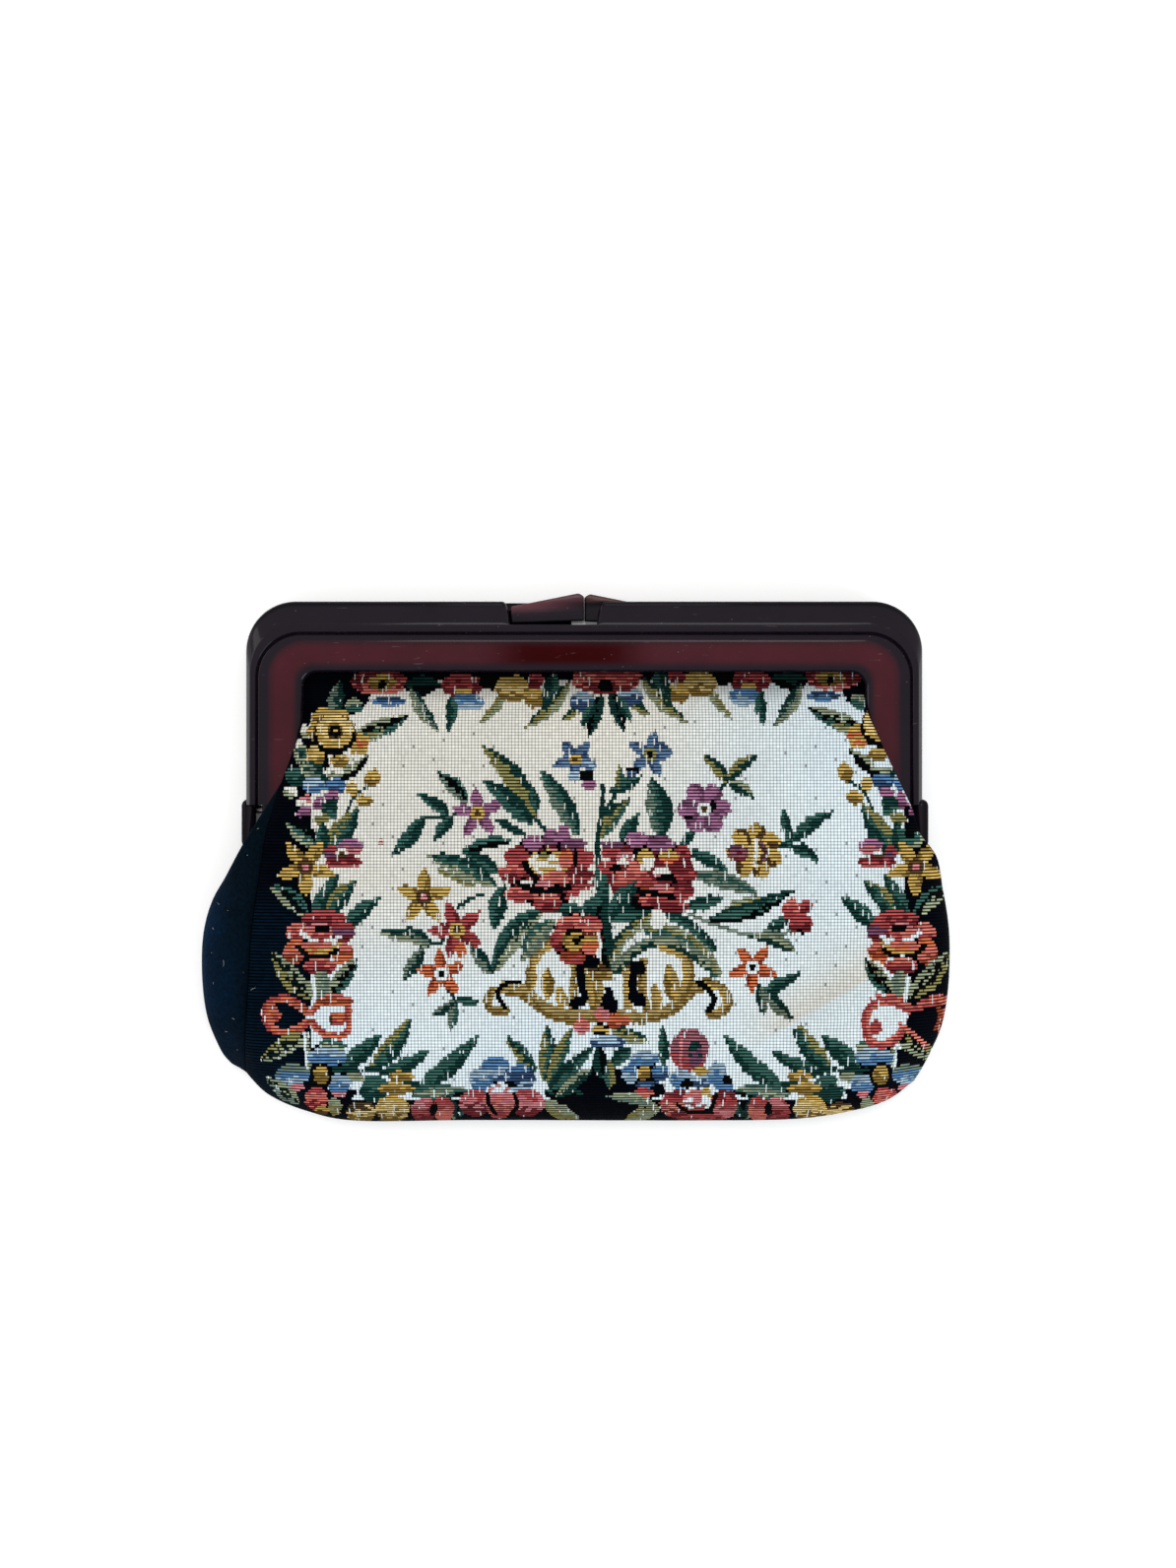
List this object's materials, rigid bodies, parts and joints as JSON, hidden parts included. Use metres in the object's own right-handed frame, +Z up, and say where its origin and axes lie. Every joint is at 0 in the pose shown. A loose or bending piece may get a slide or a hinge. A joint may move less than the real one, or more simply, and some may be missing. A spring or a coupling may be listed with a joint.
{
  "type": "clutch bag",
  "caption": "Framed clutch bag lying on its back: soft tapestry front, navy velvet back wrapped round one side, and a hinged moulded plastic frame with a snap clasp.",
  "frame": {"origin": "centre of the bag's outline on the surface it lies on", "axes": "+X across the bag to the viewer's right, +Y from the pouch's bottom seam to the clasp, +Z up from the surface towards the tapestry front"},
  "size_m": [0.2286, 0.1613, 0.0258],
  "materials": {
    "frame_plastic": "glossy translucent wine red, nearly black at the rim, finely scratched",
    "hinge_steel": "plain",
    "tapestry_cloth": "woven petit-point tapestry, floral on cream",
    "velvet_cloth": "navy velvet"
  },
  "bodies": {
    "root": {"frame_front": "frame_plastic", "frame_back": "frame_plastic", "hinge_pin_left": "hinge_steel", "hinge_pin_right": "hinge_steel", "tapestry_panel": "tapestry_cloth", "velvet_panel": "velvet_cloth"}
  },
  "joints": []
}
